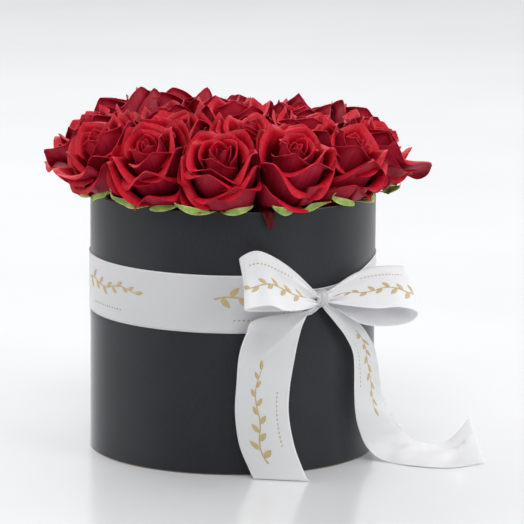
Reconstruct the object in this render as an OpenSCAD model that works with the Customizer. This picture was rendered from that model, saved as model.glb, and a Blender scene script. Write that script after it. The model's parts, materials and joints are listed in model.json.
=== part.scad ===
// Round flower box: a paper-covered hat box with a tied ribbon, and a lift-out
// insert of a liner pot, two blocks of floral foam and nineteen roses on stems.
// Millimetres, +Z up. The origin is the centre of the underside, and the bow
// faces -Y.

/* [Box] */
// Outer radius of the box
box_radius = 100; // [99:0.5:102]
// Height of the box to its rim
box_height = 182; // [180:1:186]
// Wall of the board tube
board_wall = 2.2; // [1.8:0.1:2.4]
// Thickness of the covering and lining papers
paper = 0.3; // [0.2:0.05:0.35]
// Depth that the cover paper turns down inside the rim
turn_in = 15; // [8:1:25]
// Thickness of the base disc
base_thick = 2.5; // [2:0.1:2.5]

/* [Insert] */
// Outer radius of the liner pot
pot_radius = 95.5; // [94.5:0.5:96]
// Height of the liner pot
pot_height = 159; // [150:1:162]
// Wall of the liner pot
pot_wall = 0.8; // [0.6:0.1:1]
// Radius of the two foam blocks
foam_radius = 94; // [92:0.5:94.2]
// Height of the lower foam block
foam_lower_height = 79; // [74:1:80]
// Height of the upper foam block
foam_upper_height = 75; // [70:1:76]

/* [Roses] */
// Roses in the outer ring
outer_count = 12; // [12:1:12]
// Roses in the middle ring
middle_count = 6; // [6:1:6]
// Greatest radius of an outer bloom
outer_bloom = 24; // [22:0.5:24.5]
// Greatest radius of a middle bloom
middle_bloom = 23.5; // [22:0.5:24]
// Greatest radius of the centre bloom
centre_bloom = 26; // [24:0.5:26.5]
// Radius of a stem
stem_radius = 2.8; // [2.2:0.1:2.8]
// Clearance round a stem in the foam
stem_gap = 0.3; // [0.25:0.05:0.5]
// Length of a sepal
sepal_length = 17; // [12:1:18]

/* [Ribbon] */
// Width of the ribbon
ribbon_width = 40; // [38:1:42]
// Height of the middle of the ribbon band above the base
ribbon_height = 119; // [115:1:122]
// Thickness of the ribbon
ribbon_thick = 0.6; // [0.5:0.1:0.7]

/* [Hidden] */
$fn = 96;
// Small step that keeps a cutting face clear of the face it cuts
bite = 1;

// Box radii, from the outside in
board_outer = box_radius - paper;
board_inner = board_outer - board_wall;
lining_inner = board_inner - paper;

// Insert levels
pot_floor = base_thick + 0.3;
foam_gap = 0.2;
foam_lower_z = pot_floor + pot_wall + foam_gap;
foam_upper_z = foam_lower_z + foam_lower_height + foam_gap;
rim_bead = 0.9;

// Placement of each rose: azimuth round the box, radius and height of the
// bottom of its bloom, tilt away from the vertical, and size of the bloom.
outer_first = -131;
outer_step = 360 / outer_count;
// Small differences between the outer roses: height, then tilt
outer_rise = [0, 1, 0, -1, -1, -2, -2, 2, 6, 2, 0, 1];
outer_lean = [33, 30, 30, 33, 33, 31, 31, 31, 32, 33, 34, 33];
middle_first = -116;
middle_step = 360 / middle_count;
middle_rise = [2, 0, -1, 2, 1, 0];
outer_roses = [for (i = [0 : outer_count - 1])
    [outer_first + i * outer_step, 80, 187 + outer_rise[i], outer_lean[i], outer_bloom]];
middle_roses = [for (i = [0 : middle_count - 1])
    [middle_first + i * middle_step, 44, 190 + middle_rise[i], 13, middle_bloom]];
centre_rose = [[0, 0, 192, 0, centre_bloom]];
ROSES = concat(outer_roses, middle_roses, centre_rose);
stem_length = 79;
hip_height = 7;
hip_radius = 6;
bore_radius = stem_radius + stem_gap;

// A loose petal over the rim: its azimuth, then stations from its inner end to its
// tip, each with a radius from the box's axis, a height and half of its width.
petal_azimuth = -113.5;
petal_thick = 0.5;
petal_line = [
    [95, 184.6, 1.2], [97.6, 182.8, 2.4], [100.2, 182.7, 3.4],
    [101.7, 180.8, 4], [103, 177, 4], [103.6, 172.6, 1.6]];

// The two edges of each free stretch of ribbon: pairs of points, from the knot out.
knot_at = [-3.5, -107.2, 121.5];
knot_radius = 5.6;
knot_height = 13;
left_loop_edges = [
    [[-10, -109, 127], [-10, -110, 117]],
    [[-28, -109, 143], [-28, -119, 118]],
    [[-44, -109, 154], [-45, -123, 120]],
    [[-58, -107, 160], [-61, -126, 126]],
    [[-67, -102, 156], [-75, -120, 124]],
    [[-64, -98, 151], [-70, -113, 121]],
    [[-53, -97, 145], [-57, -111, 119]],
    [[-37, -101, 135], [-38, -110, 117]],
    [[-22, -104, 127], [-22, -107, 116]],
    [[-10, -105, 124], [-10, -106, 117]]];
right_loop_edges = [
    [[3, -109, 127], [3, -110, 118]],
    [[24, -106, 135], [12, -121, 117]],
    [[43, -104, 138], [28, -129, 115]],
    [[60, -103, 137], [47, -131, 114]],
    [[74, -100, 134], [67, -125, 107]],
    [[70, -95, 129], [66, -118, 99]],
    [[54, -96, 125], [48, -117, 98]],
    [[38, -99, 123], [28, -114, 101]],
    [[20, -103, 122], [14, -110, 109]],
    [[3, -105, 123], [3, -106, 116]]];
left_tail_edges = [
    [[-12, -104, 114], [-7, -107, 114]],
    [[-50, -96.5, 110.5], [-21, -112, 108]],
    [[-56, -93.5, 101], [-27, -114, 98]],
    [[-61, -92, 86], [-30, -113, 82]],
    [[-63, -92, 66], [-35, -115, 64]],
    [[-64, -92, 46], [-37, -117, 46]],
    [[-61, -93, 24], [-34, -120, 24]],
    [[-55, -97, 6], [-28, -124, 5]],
    [[-53, -99, 0.4], [-26, -126, 0.4]]];
right_tail_edges = [
    [[0, -107, 114], [6, -106, 115]],
    [[10, -108, 102], [31, -104, 101]],
    [[20, -106, 91], [49, -97, 84]],
    [[28, -104, 77], [60, -89, 70]],
    [[29, -104, 52], [66, -88, 43]],
    [[30, -104, 38], [72, -92, 28]],
    [[34, -103, 25], [79, -93, 19]],
    [[42, -103, 10], [83, -93, 14]],
    [[52, -110, 0.8], [86, -97, 10]],
    [[60, -130, 0.5], [93, -109, 7]],
    [[77, -150, 0.5], [100, -121, 12]],
    [[106, -153, 0.5], [110, -131, 28]]];
loop_steps = 4;
tail_steps = 4;

// A ring between two radii, from one height to another.
module ring(inner, outer, z0, z1) {
    rotate_extrude()
        translate([inner, z0])
            square([outer - inner, z1 - z0]);
}

// A point on the smooth curve through four neighbours, t of the way from b to c.
function curve_point(a, b, c, d, t) =
    0.5 * ((2 * b) + (c - a) * t + (2 * a - 5 * b + 4 * c - d) * t * t
        + (3 * b - a - 3 * c + d) * t * t * t);

// The smooth curve through a list of points, with so many steps between two.
function curve(points, steps) =
    let (last = len(points) - 1)
    concat(
        [for (i = [0 : last - 1]) for (k = [0 : steps - 1])
            curve_point(points[max(i - 1, 0)], points[i], points[i + 1],
                points[min(i + 2, last)], k / steps)],
        [points[last]]);

function unit(v) = v / norm(v);

// Direction across the sheet at place i of its two edges.
function sheet_normal(one, two, i) =
    let (before = max(i - 1, 0), after = min(i + 1, len(one) - 1))
    unit(cross(one[after] + two[after] - one[before] - two[before], two[i] - one[i]));

// A thin closed strip between two smooth edges.
module strip(edges, steps, thick = ribbon_thick) {
    one = curve([for (pair = edges) pair[0]], steps);
    two = curve([for (pair = edges) pair[1]], steps);
    count = len(one);
    half = thick / 2;
    corners = [for (i = [0 : count - 1])
        let (n = sheet_normal(one, two, i) * half)
        for (p = [one[i] + n, two[i] + n, two[i] - n, one[i] - n]) p];
    sides = [for (i = [0 : count - 2]) for (k = [0 : 3])
        let (a = 4 * i + k, b = 4 * i + (k + 1) % 4)
        for (face = [[a, b, b + 4], [a, b + 4, a + 4]]) face];
    last = 4 * (count - 1);
    ends = [[0, 2, 1], [0, 3, 2], [last, last + 1, last + 2], [last, last + 2, last + 3]];
    polyhedron(points = corners, faces = concat(sides, ends));
}

// Puts a rose's parts at its place: +Z runs up its stem axis from the bloom's foot.
module at_rose(i) {
    place = ROSES[i];
    rotate([0, 0, place[0]])
        translate([place[1], 0, place[2]])
            rotate([0, place[3], 0])
                children();
}

// Grey board tube that gives the box its shape.
module board_tube() {
    color("dimgray")
        ring(board_inner, board_outer, 0, box_height - paper);
}

// Board disc that closes the bottom of the tube.
module base_disc() {
    color("dimgray")
        cylinder(r = lining_inner, h = base_thick);
}

// Black paper on the outside of the tube, over the rim and down inside it.
module cover_paper() {
    color("#26272c")
        rotate_extrude()
            polygon([
                [board_outer, 2 * paper], [box_radius, 2 * paper],
                [box_radius, box_height], [lining_inner, box_height],
                [lining_inner, box_height - turn_in], [board_inner, box_height - turn_in],
                [board_inner, box_height - paper], [board_outer, box_height - paper]]);
}

// Black paper on the inside of the tube, below the turn-in.
module lining_paper() {
    color("#2e2f34")
        ring(lining_inner, board_inner, base_thick, box_height - turn_in);
}

// Ribbon wound once round the box.
module ribbon_band() {
    color("white")
        ring(box_radius + 0.2, box_radius + 0.2 + ribbon_thick,
            ribbon_height - ribbon_width / 2, ribbon_height + ribbon_width / 2);
}

// The wrap that ties the bow.
module bow_knot() {
    color("white")
        translate(knot_at - [0, 0, knot_height / 2])
            rotate_extrude($fn = 48)
                polygon([
                    [0, 0], [2.6, 0], [4.6, 1.6], [knot_radius, 4.4],
                    [knot_radius, knot_height - 4.4], [4.6, knot_height - 1.6],
                    [2.6, knot_height], [0, knot_height]]);
}

module bow_loop_left() {
    color("white") strip(left_loop_edges, loop_steps);
}

module bow_loop_right() {
    color("white") strip(right_loop_edges, loop_steps);
}

module tail_left() {
    color("white") strip(left_tail_edges, tail_steps);
}

module tail_right() {
    color("white") strip(right_tail_edges, tail_steps);
}

// Thin plastic pot that keeps the water off the box.
module liner_pot() {
    color("#3a3c42")
        rotate_extrude()
            polygon([
                [0, pot_floor], [pot_radius - 3, pot_floor], [pot_radius, pot_floor + 3],
                [pot_radius, pot_floor + pot_height - 2],
                [pot_radius + rim_bead, pot_floor + pot_height - 2],
                [pot_radius + rim_bead, pot_floor + pot_height],
                [pot_radius - pot_wall, pot_floor + pot_height],
                [pot_radius - pot_wall, pot_floor + 3 + pot_wall / 2],
                [pot_radius - 3 - pot_wall / 2, pot_floor + pot_wall],
                [0, pot_floor + pot_wall]]);
}

// Foam block at the bottom of the pot, with a bevelled lower edge.
module foam_lower() {
    color("#4f7a45")
        rotate_extrude()
            polygon([
                [0, foam_lower_z], [foam_radius - 4, foam_lower_z],
                [foam_radius, foam_lower_z + 4],
                [foam_radius, foam_lower_z + foam_lower_height],
                [0, foam_lower_z + foam_lower_height]]);
}

// Foam block that holds the stems, with a hole for each.
module foam_upper() {
    color("#4f7a45")
        difference() {
            translate([0, 0, foam_upper_z])
                cylinder(r = foam_radius, h = foam_upper_height);
            for (i = [0 : len(ROSES) - 1])
                at_rose(i)
                    translate([0, 0, -stem_length - bite])
                        cylinder(r = bore_radius, h = stem_length, $fn = 32);
        }
}

// A petal that has dropped between two heads and hangs over the rim.
module fallen_petal() {
    edges = [for (p = petal_line) [[p[0], -p[2], p[1]], [p[0], p[2], p[1]]]];
    color("#5e0a14")
        rotate([0, 0, petal_azimuth])
            strip(edges, 4, petal_thick);
}

// A bloom: a bud whose petals open in rings round its heart.
module rose_bloom(i) {
    width = ROSES[i][4];
    color("#a30f1c")
        at_rose(i)
            rotate_extrude($fn = 60)
                polygon([
                    [0, 0.2], [0.24 * width, 0.2], [0.54 * width, 4], [0.77 * width, 11],
                    [0.90 * width, 20], [0.97 * width, 29], [width, 38],
                    [0.97 * width, 44], [0.80 * width, 48], [0.66 * width, 46],
                    [0.60 * width, 51], [0.44 * width, 52], [0.38 * width, 47],
                    [0.32 * width, 53], [0.16 * width, 54], [0.12 * width, 48], [0, 47]]);
}

// One narrow leaf under the bloom, spread out and a little up.
module sepal() {
    thick = 0.8;
    rotate([0, -16, 0])
        translate([hip_radius - 3, 0, -thick])
            linear_extrude(thick)
                polygon([
                    [0, -2.6], [0.35 * sepal_length, -3], [0.7 * sepal_length, -1.8],
                    [sepal_length, -0.3], [sepal_length, 0.3],
                    [0.7 * sepal_length, 1.8], [0.35 * sepal_length, 3], [0, 2.6]]);
}

// A stem with the swelling and five sepals that carry its bloom.
module rose_stem(i) {
    color("#6d9a3c")
        at_rose(i) {
            rotate_extrude($fn = 32)
                polygon([
                    [0, -stem_length], [stem_radius - 0.8, -stem_length],
                    [stem_radius, -stem_length + 1.5], [stem_radius, -hip_height - 2],
                    [hip_radius - 1, -hip_height + 1.5], [hip_radius, -3],
                    [hip_radius - 0.8, 0], [0, 0]]);
            for (k = [0 : 4])
                rotate([0, 0, 36 + 72 * k])
                    translate([0, 0, -2])
                        sepal();
        }
}

board_tube();
base_disc();
cover_paper();
lining_paper();
ribbon_band();
bow_knot();
bow_loop_left();
bow_loop_right();
tail_left();
tail_right();
liner_pot();
foam_lower();
foam_upper();
fallen_petal();
rose_bloom(0);  // rose_01_bloom
rose_stem(0);  // rose_01_stem
rose_bloom(1);  // rose_02_bloom
rose_stem(1);  // rose_02_stem
rose_bloom(2);  // rose_03_bloom
rose_stem(2);  // rose_03_stem
rose_bloom(3);  // rose_04_bloom
rose_stem(3);  // rose_04_stem
rose_bloom(4);  // rose_05_bloom
rose_stem(4);  // rose_05_stem
rose_bloom(5);  // rose_06_bloom
rose_stem(5);  // rose_06_stem
rose_bloom(6);  // rose_07_bloom
rose_stem(6);  // rose_07_stem
rose_bloom(7);  // rose_08_bloom
rose_stem(7);  // rose_08_stem
rose_bloom(8);  // rose_09_bloom
rose_stem(8);  // rose_09_stem
rose_bloom(9);  // rose_10_bloom
rose_stem(9);  // rose_10_stem
rose_bloom(10);  // rose_11_bloom
rose_stem(10);  // rose_11_stem
rose_bloom(11);  // rose_12_bloom
rose_stem(11);  // rose_12_stem
rose_bloom(12);  // rose_13_bloom
rose_stem(12);  // rose_13_stem
rose_bloom(13);  // rose_14_bloom
rose_stem(13);  // rose_14_stem
rose_bloom(14);  // rose_15_bloom
rose_stem(14);  // rose_15_stem
rose_bloom(15);  // rose_16_bloom
rose_stem(15);  // rose_16_stem
rose_bloom(16);  // rose_17_bloom
rose_stem(16);  // rose_17_stem
rose_bloom(17);  // rose_18_bloom
rose_stem(17);  // rose_18_stem
rose_bloom(18);  // rose_19_bloom
rose_stem(18);  // rose_19_stem
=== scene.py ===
"""Looks of the flower box: a black paper hat box, a tied satin ribbon, and an insert of red roses in foam.

Everything is in metres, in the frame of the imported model: +Z up, the bow towards -Y.
"""
import json
import math
import random
from math import pi, radians
from types import SimpleNamespace

import bpy
import numpy as np
from mathutils import Matrix, Vector


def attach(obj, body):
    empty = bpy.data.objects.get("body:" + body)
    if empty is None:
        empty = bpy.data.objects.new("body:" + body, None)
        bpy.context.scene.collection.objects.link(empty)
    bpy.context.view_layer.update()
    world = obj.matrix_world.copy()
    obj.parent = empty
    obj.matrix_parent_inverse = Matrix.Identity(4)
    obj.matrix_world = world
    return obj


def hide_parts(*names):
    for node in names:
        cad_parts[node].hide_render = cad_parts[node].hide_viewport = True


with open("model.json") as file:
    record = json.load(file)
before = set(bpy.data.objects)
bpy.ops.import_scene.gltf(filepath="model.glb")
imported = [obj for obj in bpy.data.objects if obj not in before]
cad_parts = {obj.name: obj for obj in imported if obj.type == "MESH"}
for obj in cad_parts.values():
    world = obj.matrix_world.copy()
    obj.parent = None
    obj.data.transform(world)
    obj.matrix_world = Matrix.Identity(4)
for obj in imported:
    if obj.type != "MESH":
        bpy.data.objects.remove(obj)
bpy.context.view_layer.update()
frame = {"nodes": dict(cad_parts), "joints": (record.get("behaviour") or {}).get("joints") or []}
NODES = frame["nodes"]
MM = 0.001

# ---- mesh helpers


def link(name, data):
    """A new object in the scene."""
    piece = bpy.data.objects.new(name, data)
    bpy.context.scene.collection.objects.link(piece)
    return piece


def add_object(name, points, faces, materials, face_material=None):
    """A smooth mesh object from points in metres."""
    mesh = bpy.data.meshes.new(name)
    mesh.from_pydata([tuple(p) for p in points], [], faces)
    for material in materials:
        mesh.materials.append(material)
    if face_material is not None:
        mesh.polygons.foreach_set("material_index", face_material)
    mesh.polygons.foreach_set("use_smooth", [True] * len(mesh.polygons))
    mesh.update()
    return link(name, mesh)


def paint(piece, values):
    """Stores four values for each point, which the materials read."""
    layer = piece.data.color_attributes.new("sheet", "FLOAT_COLOR", "POINT")
    layer.data.foreach_set("color", np.asarray(values, dtype=np.float32).ravel())


def smoothstep(x):
    """Eases from 0 to 1 as x goes from 0 to 1."""
    x = np.clip(x, 0.0, 1.0)
    return x * x * (3.0 - 2.0 * x)


def marks(along, across, chance):
    """The values that a sheet's points carry: along it, across it and its own chance value."""
    return np.stack(np.broadcast_arrays(along, across, chance), axis=-1)


def polar(radius, angle, height):
    """Points from distances from the vertical axis, angles about it and heights."""
    return np.stack([radius * np.cos(angle), radius * np.sin(angle), height], axis=-1)


def running(steps):
    """Running totals of steps, from nothing."""
    return np.concatenate([np.zeros_like(steps[:1]), np.cumsum(steps, axis=0)])


def grid_normals(grid):
    """Unit normals of a grid of points with shape (rows, columns, 3)."""
    along = np.gradient(grid, axis=0)
    across = np.gradient(grid, axis=1)
    normal = np.cross(across, along)
    length = np.linalg.norm(normal, axis=2, keepdims=True)
    return normal / np.maximum(length, 1e-9)


class Sheets:
    """Collects thin closed sheets, each with a front and a back, into one mesh."""

    def __init__(self):
        self.points, self.faces, self.colours, self.slots, self.count = [], [], [], [], 0

    def add(self, grid, thickness, colours, normals, slot=0):
        """grid, colours and normals are (rows, columns, 3); a fourth colour channel marks the back."""
        rows, columns = grid.shape[:2]
        half = normals * (thickness / 2)
        size = rows * columns
        index = np.arange(size).reshape(rows, columns) + self.count
        a, b, c, d = index[:-1, :-1], index[:-1, 1:], index[1:, 1:], index[1:, :-1]
        faces = np.stack([a, b, c, d], axis=-1).reshape(-1, 4)
        self.faces += faces.tolist()
        self.faces += (faces[:, ::-1] + size).tolist()
        rim = np.concatenate([index[0, :], index[1:, -1], index[-1, -2::-1], index[-2:0:-1, 0]])
        following = np.roll(rim, -1)
        self.faces += np.stack([rim + size, following + size, following, rim], axis=-1).tolist()
        self.points += [(grid + half).reshape(-1, 3), (grid - half).reshape(-1, 3)]
        for mark in (0.0, 1.0):
            side = np.full((size, 1), mark)
            self.colours.append(np.concatenate([colours.reshape(-1, 3), side], axis=1))
        self.count += 2 * size
        self.slots += [slot] * (len(self.faces) - len(self.slots))

    def build(self, name, materials):
        """The mesh object of all the sheets so far."""
        points = np.concatenate(self.points)
        piece = add_object(name, points, self.faces, materials, self.slots)
        paint(piece, np.concatenate(self.colours))
        return piece


def declare(piece, node, body):
    """Hides the CAD node that a piece stands for and attaches the piece to the body it rides."""
    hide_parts(node)
    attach(piece, body)


# ---- material helpers


class Shader:
    """A short way to write the node tree of a material, or of the world."""

    def __init__(self, name, kind=bpy.data.materials, body="Principled BSDF"):
        self.data = kind.new(name)
        self.data.use_nodes = True
        self.tree = self.data.node_tree
        self.body = self.tree.nodes[body]

    def node(self, kind, **inputs):
        made = self.tree.nodes.new(kind)
        for key, value in inputs.items():
            self.put(made, key.replace("_", " "), value)
        return made

    def put(self, node, socket, value):
        target = node.inputs[int(socket)] if socket.isdigit() else node.inputs[socket]
        if isinstance(value, bpy.types.NodeSocket):
            self.tree.links.new(value, target)
        else:
            target.default_value = value

    def set(self, **inputs):
        for key, value in inputs.items():
            self.put(self.body, key.replace("_", " "), value)

    def noise(self, scale, detail, vector):
        return self.node("ShaderNodeTexNoise", Scale=scale, Detail=detail, Vector=vector).outputs["Fac"]

    def math(self, operation, a, b=0.0, kind="ShaderNodeMath"):
        made = self.node(kind)
        made.operation = operation
        self.put(made, "0", a)
        self.put(made, "1", b)
        return made.outputs["Value" if operation == "DOT_PRODUCT" else 0]

    def times(self, a, b):
        return self.math("MULTIPLY", a, b)

    def plus(self, a, b):
        return self.math("ADD", a, b)

    def scaled(self, vector, scale):
        return self.math("MULTIPLY", vector, scale, "ShaderNodeVectorMath")

    def ramp(self, fac, stops):
        """A colour ramp; each stop is (place, colour), where a single number is a grey."""
        made = self.node("ShaderNodeValToRGB")
        self.put(made, "Fac", fac)
        elements = made.color_ramp.elements
        while len(elements) < len(stops):
            elements.new(0.5)
        for element, (place, colour) in zip(elements, stops):
            element.position = place
            element.color = (*(colour if isinstance(colour, tuple) else (colour,) * 3), 1.0)
        return made.outputs["Color"]

    def mix(self, fac, a, b, blend="MIX"):
        """Mixes two colours; a colour is a socket or (red, green, blue)."""
        made = self.node("ShaderNodeMix")
        made.data_type = "RGBA"
        made.blend_type = blend
        for socket, value in (("0", fac), ("6", a), ("7", b)):
            self.put(made, socket, (*value, 1.0) if isinstance(value, tuple) else value)
        return made.outputs[2]

    def sheet(self):
        """The values painted on a piece's points: along it, across it, its chance value and its back."""
        made = self.node("ShaderNodeAttribute")
        made.attribute_name = "sheet"
        parts = self.node("ShaderNodeSeparateColor", Color=made.outputs["Color"])
        return (*parts.outputs[:3], made.outputs["Alpha"])

    def place(self):
        """The point's own place in the model, in metres."""
        return self.node("ShaderNodeTexCoord").outputs["Object"]

    def bump(self, height, distance, strength):
        made = self.node("ShaderNodeBump", Height=height, Distance=distance, Strength=strength)
        self.put(self.body, "Normal", made.outputs["Normal"])


# ---- materials


def petal_material():
    """Velvety red petals: deep at the foot with painted shade, brighter on the rim with painted light, with a
    paler, cooler back and fine veins.
    """
    s = Shader("petals")
    up, across, chance, back = s.sheet()
    veins = s.node("ShaderNodeCombineXYZ", X=s.times(across, 26.0), Y=s.times(up, 2.2),
                   Z=s.times(chance, 40.0))
    streak = s.noise(1.0, 4.0, veins.outputs[0])
    mottle = s.noise(90.0, 3.0, s.place())
    # Painted shade and light: the front goes near black at the foot, deep among the other petals, and
    # brightens up to the rolled rim.
    front = s.ramp(up, [(0.0, (0.024, 0.0004, 0.001)), (0.45, (0.16, 0.0014, 0.004)),
                        (0.80, (0.52, 0.0034, 0.014)), (1.0, (0.67, 0.0055, 0.027))])
    reverse = s.ramp(up, [(0.0, (0.30, 0.026, 0.040)), (0.22, (0.27, 0.006, 0.020)),
                          (0.75, (0.36, 0.009, 0.030)), (1.0, (0.48, 0.014, 0.038))])
    colour = s.mix(back, front, reverse)
    shade = s.ramp(streak, [(0.30, (0.66, 0.55, 0.60)), (0.60, 1.0), (0.85, (1.12, 1.35, 1.35))])
    colour = s.mix(0.8, colour, shade, "MULTIPLY")
    blotch = s.ramp(mottle, [(0.35, (0.78, 0.6, 0.75)), (0.6, 1.0)])
    colour = s.mix(0.5, colour, blotch, "MULTIPLY")
    worn = s.math("GREATER_THAN", s.noise(60.0, 2.0, s.place()), 0.60)
    edge = s.ramp(up, [(0.955, 0.0), (0.99, 1.0)])
    colour = s.mix(s.times(s.times(edge, worn), 0.6), colour, (0.07, 0.004, 0.014))
    s.set(Base_Color=colour, Roughness=0.5, Sheen_Weight=0.12, Sheen_Roughness=0.3,
          Sheen_Tint=(1.0, 0.18, 0.42, 1.0), Specular_IOR_Level=0.22)
    grain = s.noise(2400.0, 2.0, s.place())
    height = s.plus(s.times(streak, 0.8), s.times(grain, 0.15))
    s.bump(height, 0.0004, 0.5)
    return s.data


def green_material():
    """Waxy sepals, hips and stems: light green, paler along the edges, with fine ribs."""
    s = Shader("greens")
    across = s.sheet()[1]
    blotch = s.noise(160.0, 3.0, s.place())
    base = s.ramp(blotch, [(0.3, (0.17, 0.27, 0.040)), (0.55, (0.30, 0.43, 0.085)),
                           (0.8, (0.46, 0.57, 0.18))])
    rib = s.ramp(across, [(0.0, (0.65, 0.80, 0.6)), (0.15, (0.95, 0.98, 0.95)), (0.65, 1.0),
                          (1.0, (2.3, 1.9, 3.2))])
    colour = s.mix(0.9, base, rib, "MULTIPLY")
    s.set(Base_Color=colour, Roughness=0.42, Specular_IOR_Level=0.4)
    s.bump(s.noise(900.0, 2.0, s.place()), 0.0002, 0.5)
    return s.data


def satin_material():
    """White satin: fine threads across and along, a slight slub and a denser selvedge on both edges."""
    s = Shader("satin")
    along, across, chance = s.sheet()[:3]
    threads = s.node("ShaderNodeCombineXYZ", X=s.times(along, 40.0),
                     Y=s.times(across, 170.0), Z=chance)
    warp = s.noise(1.0, 2.0, threads.outputs[0])
    crossing = s.node("ShaderNodeCombineXYZ", X=s.times(along, 4200.0),
                      Y=s.times(across, 5.0), Z=chance)
    weft = s.noise(1.0, 2.0, crossing.outputs[0])
    tone = s.ramp(warp, [(0.3, (0.81, 0.81, 0.835)), (0.6, (0.84, 0.84, 0.865))])
    edge = s.math("ABSOLUTE", s.math("SUBTRACT", across, 0.5))
    selvedge = s.ramp(edge, [(0.470, 0.0), (0.478, 1.0)])
    tone = s.mix(selvedge, tone, (0.90, 0.90, 0.915))
    dull = s.ramp(weft, [(0.3, 0.30), (0.7, 0.44)])
    s.set(Base_Color=tone, Roughness=dull, Specular_IOR_Level=0.45, Sheen_Weight=0.25, Sheen_Roughness=0.4,
          Subsurface_Weight=0.8, Subsurface_Scale=0.002, Subsurface_Radius=(1.0, 1.0, 1.0))
    height = s.plus(s.times(warp, 0.5), s.times(weft, 0.35))
    height = s.plus(height, s.times(selvedge, 1.6))
    s.bump(height, 0.00012, 0.5)
    return s.data


def print_material():
    """Muted gold print, slightly worn."""
    s = Shader("gold_print")
    wear = s.noise(1500.0, 2.0, s.place())
    tone = s.ramp(wear, [(0.3, (0.46, 0.34, 0.15)), (0.7, (0.60, 0.47, 0.25))])
    s.set(Base_Color=tone, Roughness=0.42, Metallic=0.15, Specular_IOR_Level=0.5)
    s.bump(wear, 0.00005, 0.4)
    return s.data


def paper_material():
    """Matte black paper: fine felt grain, faint cloudiness, a pale sheen at grazing angles and a lap seam."""
    s = Shader("black_paper")
    place = s.place()
    grain = s.noise(1500.0, 3.0, place)
    cloud = s.noise(22.0, 3.0, place)
    fibres = s.noise(1.0, 3.0, s.scaled(place, (900.0, 900.0, 260.0)))
    tone = s.ramp(cloud, [(0.3, (0.011, 0.012, 0.015)), (0.7, (0.016, 0.017, 0.021))])
    fleck = s.ramp(fibres, [(0.3, (0.82, 0.82, 0.84)), (0.65, 1.12)])
    s.set(Base_Color=s.mix(1.0, tone, fleck, "MULTIPLY"), Roughness=0.45, Specular_IOR_Level=0.32,
          Sheen_Weight=0.80, Sheen_Roughness=0.28, Sheen_Tint=(0.95, 0.97, 1.0, 1.0))
    parts = s.node("ShaderNodeSeparateXYZ", Vector=place)
    around = s.math("ARCTAN2", parts.outputs["X"], parts.outputs["Y"])
    lap = s.times(s.math("GREATER_THAN", around, 0.18), s.math("LESS_THAN", around, 0.30))
    height = s.plus(s.times(grain, 0.35), s.times(fibres, 0.30))
    s.bump(s.plus(height, s.times(lap, 2.0)), 0.00012, 0.45)
    return s.data


def board_material():
    """Grey chipboard: short paper fibres and specks, with the edge's layers just showing."""
    s = Shader("grey_board")
    place = s.place()
    fibres = s.noise(1.0, 4.0, s.scaled(place, (500.0, 500.0, 1400.0)))
    specks = s.noise(700.0, 2.0, place)
    tone = s.ramp(fibres, [(0.3, (0.20, 0.175, 0.145)), (0.55, (0.28, 0.25, 0.21)),
                           (0.8, (0.36, 0.33, 0.28))])
    dots = s.ramp(specks, [(0.30, (0.55, 0.52, 0.5)), (0.40, 1.0)])
    s.set(Base_Color=s.mix(0.8, tone, dots, "MULTIPLY"), Roughness=0.85, Specular_IOR_Level=0.25)
    s.bump(fibres, 0.0002, 0.5)
    return s.data


def pot_material():
    """Thin black moulded plastic with a slight gloss and faint moulding ripples."""
    s = Shader("pot_plastic")
    place = s.place()
    ripple = s.noise(60.0, 2.0, place)
    dull = s.ramp(s.noise(300.0, 3.0, place), [(0.3, 0.24), (0.7, 0.38)])
    s.set(Base_Color=(0.022, 0.024, 0.024, 1.0), Roughness=dull, Specular_IOR_Level=0.5)
    s.bump(ripple, 0.0006, 0.3)
    return s.data


def foam_material():
    """Wet flower foam: deep green with open pores, each darkened with painted shade."""
    s = Shader("wet_foam")
    place = s.place()
    cell = s.node("ShaderNodeTexVoronoi", Vector=place, Scale=900.0).outputs["Distance"]
    wet = s.noise(35.0, 3.0, place)
    tone = s.ramp(wet, [(0.3, (0.012, 0.060, 0.022)), (0.7, (0.030, 0.115, 0.045))])
    # Painted shade: the colour darkens towards each pore's middle, where its hollow would be shaded.
    pores = s.ramp(cell, [(0.10, 0.45), (0.45, 1.15)])
    s.set(Base_Color=s.mix(1.0, tone, pores, "MULTIPLY"), Roughness=0.7, Specular_IOR_Level=0.35)
    s.bump(s.plus(cell, s.times(wet, 1.5)), 0.0006, 0.6)
    return s.data


def dress(material, *nodes):
    """Puts a material on nodes that keep their CAD form."""
    for node in nodes:
        mesh = NODES[node].data
        mesh.materials.clear()
        mesh.materials.append(material)


PETALS, GREENS, SATIN, PRINT = petal_material(), green_material(), satin_material(), print_material()

dress(paper_material(), "cover_paper", "lining_paper")
dress(board_material(), "board_tube", "base_disc")
dress(pot_material(), "liner_pot")
dress(foam_material(), "foam_lower", "foam_upper")

# ---- roses

ROSES = 19
PETAL_SEED = 100
GREENS_SEED = 500
PETAL_THICK = 0.38 * MM
# Above 1, a petal's rows crowd towards its rim.
ROW_CROWDING = 1.6
GOLDEN = radians(137.5)
# The radius of a head of usual size, which the petal layers below are written for.
HEAD_RADIUS = 24.0 * MM
# Heads press on each other when their feet are nearer than this. Points past the soft share of a head's room
# are pressed back, and a narrow gap is left between the two.
NEIGHBOUR_REACH = 95.0 * MM
SOFT_FROM = 0.72
HEAD_GAP = 0.3 * MM
RIM_TOP = 182.4 * MM
PETAL_OVER_RIM = 2.6 * MM
SEPAL_OVER_RIM = 0.5 * MM
# Points nearer than this to the lowest height that they may have over the rim are eased up.
RIM_EASE = 2.0 * MM
# The sine of the lean above which a rose belongs to the outer ring.
OUTER_LEAN = 0.35


def points_of(node):
    """A CAD node's points, as rows of x, y and z."""
    mesh = NODES[node].data
    points = np.empty(len(mesh.vertices) * 3)
    mesh.vertices.foreach_get("co", points)
    return points.reshape(-1, 3)


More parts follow.
